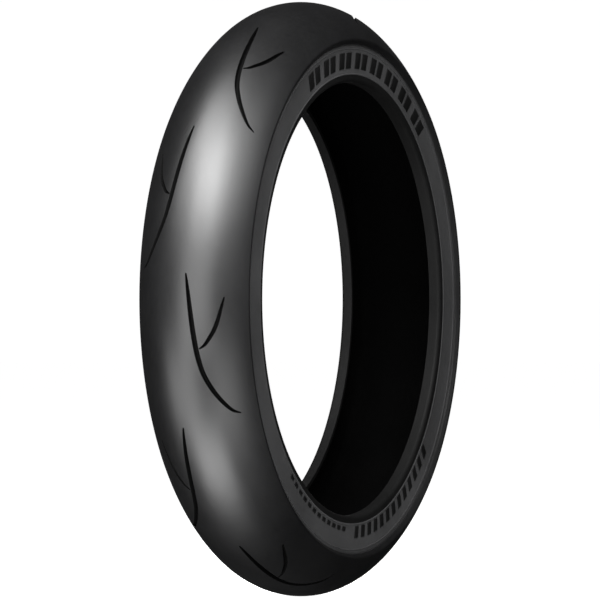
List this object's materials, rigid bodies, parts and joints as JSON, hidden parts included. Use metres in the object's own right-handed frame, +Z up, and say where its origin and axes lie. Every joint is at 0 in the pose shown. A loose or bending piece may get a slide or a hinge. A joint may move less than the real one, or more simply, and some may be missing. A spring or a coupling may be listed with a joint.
{
  "type": "motorcycle tyre",
  "caption": "Hollow front motorcycle tyre: round grooved tread over a belt and plies, flat sidewalls, and wired beads that seat on a rim.",
  "frame": {"origin": "centre of the wheel: on the spin axis, midway between the two beads", "axes": "+Y along the spin axis towards the left sidewall, which carries no raised bands; +Z up; +X along the ground"},
  "size_m": [0.6, 0.1196, 0.6],
  "materials": {
    "tread_rubber": "satin",
    "sidewall_rubber": "matte",
    "bead_rubber": "satin",
    "liner_rubber": "satin",
    "base_rubber": "matte",
    "filler_rubber": "matte",
    "ply_fabric": "matte",
    "steel_cord": "satin",
    "bead_steel": "satin"
  },
  "bodies": {
    "root": {"tread_cap": "tread_rubber", "undertread": "base_rubber", "belt_cords": "steel_cord", "belt_skim": "base_rubber", "belt_edge_strip_left": "base_rubber", "belt_edge_strip_right": "base_rubber", "ply_outer": "ply_fabric", "ply_inner": "ply_fabric", "inner_liner": "liner_rubber", "sidewall_left": "sidewall_rubber", "sidewall_right": "sidewall_rubber", "chafer_left": "bead_rubber", "chafer_right": "bead_rubber", "toe_strip_left": "bead_rubber", "toe_strip_right": "bead_rubber", "bead_filler_left": "filler_rubber", "bead_filler_right": "filler_rubber", "bead_coat_left": "filler_rubber", "bead_coat_right": "filler_rubber", "bead_wires_left": "bead_steel", "bead_wires_right": "bead_steel"}
  },
  "joints": []
}
